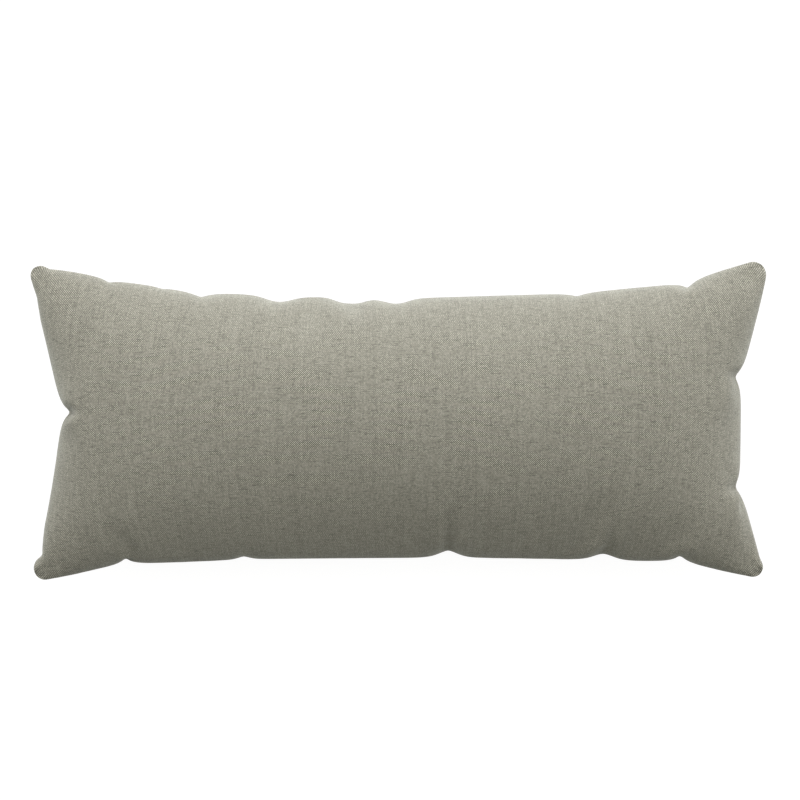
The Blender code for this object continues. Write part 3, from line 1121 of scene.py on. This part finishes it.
def cover_material():
    material = bpy.data.materials.new("woven_cover")
    material.use_nodes = True
    tree = material.node_tree
    shader = tree.nodes["Principled BSDF"]
    cut_place = add(tree, "ShaderNodeUVMap", uv_map="cut").outputs["UV"]
    x = wandered(tree, cut_place, "X", WARP_PITCH)
    y = wandered(tree, cut_place, "Y", WEFT_PITCH)
    warp = place_group(tree, yarn_set, x, y, Crossing=0.0, Seed=3.0, Slub_run=18.0,
                       Slub_spread=0.5)
    weft = place_group(tree, yarn_set, y, x, Crossing=1.0, Seed=11.0, Slub_run=12.0,
                       Slub_spread=0.6)
    lead = sums(tree, "SUBTRACT", warp["Height"], weft["Height"])
    on_top = sums(tree, "MULTIPLY_ADD", lead, ON_TOP_SHARPNESS, 0.5, clamp=True)
    height = sums(tree, "MAXIMUM", warp["Height"], weft["Height"])
    colour = mix(tree, "RGBA", on_top, WEFT_COLOUR, WARP_COLOUR)
    shade = mix(tree, "FLOAT", on_top, weft["Shade"], warp["Shade"])
    # Painted shade: the colour darkens where the weave is low, in the gaps between yarns.
    painted_gap_shade = sums(tree, "MULTIPLY_ADD", height, GAP_PAINTED_SHADE, 1 - GAP_PAINTED_SHADE, clamp=True)
    dark = place_group(tree, flecks, y, x, Run=12.0, Thickness=1.0, Level=0.60, Seed=21.0)["Mask"]
    light = place_group(tree, flecks, x, y, Run=26.0, Thickness=0.8, Level=0.66, Seed=33.0)["Mask"]
    fleck = sums(tree, "MULTIPLY_ADD", dark, -FLECK_DARK, 1.0)
    fleck = sums(tree, "MULTIPLY_ADD", light, FLECK_LIGHT, fleck)
    apart = part_of(tree, add(tree, "ShaderNodeUVMap", uv_map="seam").outputs["UV"], "X")
    # Painted shade: the colour darkens in the groove along the seam.
    painted_groove_shade = soft_step(tree, apart, *GROOVE_EDGES, GROOVE_PAINTED_SHADE, 1.0)
    for factor in (painted_gap_shade, fleck, painted_groove_shade):
        shade = sums(tree, "MULTIPLY", shade, factor)
    scaled = add(tree, "ShaderNodeVectorMath", operation="SCALE")
    feed(tree, scaled.inputs[0], colour)
    feed(tree, scaled.inputs["Scale"], shade)
    feed(tree, shader.inputs["Base Color"], scaled.outputs["Vector"])
    set_inputs(shader, SURFACE)
    bump = add(tree, "ShaderNodeBump")
    set_inputs(bump, {"Strength": 0.6, "Distance": 0.00025})
    feed(tree, bump.inputs["Height"], height)
    feed(tree, shader.inputs["Normal"], bump.outputs["Normal"])
    return material


mesh.materials.append(cover_material())
print("threads along the length:", round(CUT_LENGTH / WARP_PITCH),
      "and along the height:", round(CUT_HEIGHT / WEFT_PITCH))

# %% [markdown]
# The photograph looks straight down on the face. A long lens from well above keeps the sides
# from showing. The cushion isn't quite in the middle of the frame, so the camera stands a
# little to one side instead of being shifted.

# %% Camera
PIXEL_AT_SEAM = 0.00108
FRAME_PIXELS = 800
CUSHION_CENTRE_PIXEL = (398.4, 420.7)
SENSOR = 36.0

camera_data = bpy.data.cameras.new("camera")
camera = new_object("camera", camera_data)
camera_data.sensor_width = SENSOR
camera_data.lens = SENSOR * CAMERA_DISTANCE / (FRAME_PIXELS * PIXEL_AT_SEAM)
off_centre = [(FRAME_PIXELS / 2 - place) * PIXEL_AT_SEAM for place in CUSHION_CENTRE_PIXEL]
camera.location = (off_centre[0], -off_centre[1], SEAM_HEIGHT + CAMERA_DISTANCE)
bpy.context.scene.camera = camera
print("lens, mm:", round(camera_data.lens, 1), "at", [round(c, 4) for c in camera.location])

# %% [markdown]
# The floor is plain and pale. It glows for the camera, so that it stays near white with only
# a faint shadow under the cushion. The light that it throws on to the cloth goes up in two
# soft steps from front to back: almost none in front of the cushion, where it would wash out
# the dark lower side, more at the two ends, and most behind the bright upper side.

# %% Floor
FLOOR_SIZE = 12.0
WHITE = (1.0, 1.0, 1.0, 1.0)
FLOOR_COLOUR = (0.15, 0.15, 0.15, 1.0)
FLOOR_GLOW = 0.93
DIM_FLOOR = 0.04
SIDE_FLOOR = 0.85
BRIGHT_FLOOR = 1.45
FRONT_EDGE = (-0.32, -0.12)
BACK_EDGE = (0.04, 0.22)
FLOOR_DROP = 0.0005

floor_mesh = bpy.data.meshes.new("floor")
half = FLOOR_SIZE / 2
floor_mesh.from_pydata([(-half, -half, 0), (half, -half, 0), (half, half, 0), (-half, half, 0)],
                       [], [(0, 1, 2, 3)])
floor = new_object("floor", floor_mesh)
floor.location.z = -FLOOR_DROP
floor_material = bpy.data.materials.new("pale_floor")
floor_material.use_nodes = True
floor_tree = floor_material.node_tree
floor_shader = floor_tree.nodes["Principled BSDF"]
set_inputs(floor_shader, {"Base Color": FLOOR_COLOUR, "Roughness": 1.0,
                          "Specular IOR Level": 0.0, "Emission Color": WHITE})
camera_ray = add(floor_tree, "ShaderNodeLightPath").outputs["Is Camera Ray"]
floor_place = add(floor_tree, "ShaderNodeNewGeometry").outputs["Position"]
front_to_back = part_of(floor_tree, floor_place, "Y")
front_step = soft_step(floor_tree, front_to_back, *FRONT_EDGE, DIM_FLOOR, SIDE_FLOOR)
back_step = soft_step(floor_tree, front_to_back, *BACK_EDGE, 0.0, BRIGHT_FLOOR - SIDE_FLOOR)
thrown = sums(floor_tree, "ADD", front_step, back_step)
glow = mix(floor_tree, "FLOAT", camera_ray, thrown, FLOOR_GLOW)
feed(floor_tree, floor_shader.inputs["Emission Strength"], glow)
floor_mesh.materials.append(floor_material)
print("floor:", FLOOR_SIZE, "m square")

# %% [markdown]
# In the photograph the far side of the cushion is bright and the near side dark, with no edge
# between them: the light is one huge soft source behind the top edge, a little to the right.
# The world does that with a gradient that runs nearly along Y. The camera itself sees plain
# white behind everything.

# %% Light
BRIGHT_SKY = (1.86, 1.85, 1.83, 1.0)
DIM_SKY = (0.245, 0.245, 0.210, 1.0)
SKY_EDGE = 0.35
BRIGHT_SIDE = (0.12, 1.0, 0.0)

world = bpy.data.worlds.new("studio")
bpy.context.scene.world = world
world.use_nodes = True
sky = world.node_tree
sky.nodes.clear()
direction = add(sky, "ShaderNodeTexCoord").outputs["Generated"]
towards = add(sky, "ShaderNodeVectorMath", operation="DOT_PRODUCT")
feed(sky, towards.inputs[0], direction)
feed(sky, towards.inputs[1], BRIGHT_SIDE)
bright = soft_step(sky, towards.outputs["Value"], -SKY_EDGE, SKY_EDGE, 0.0, 1.0)
light = add(sky, "ShaderNodeBackground")
feed(sky, light.inputs["Color"], mix(sky, "RGBA", bright, DIM_SKY, BRIGHT_SKY))
backdrop = add(sky, "ShaderNodeBackground")
set_inputs(backdrop, {"Color": WHITE})
either = add(sky, "ShaderNodeMixShader")
feed(sky, either.inputs["Fac"], add(sky, "ShaderNodeLightPath").outputs["Is Camera Ray"])
feed(sky, either.inputs[1], light.outputs["Background"])
feed(sky, either.inputs[2], backdrop.outputs["Background"])
feed(sky, add(sky, "ShaderNodeOutputWorld").inputs["Surface"], either.outputs["Shader"])
bpy.context.scene.view_settings.view_transform = "Standard"
print("world:", world.name)
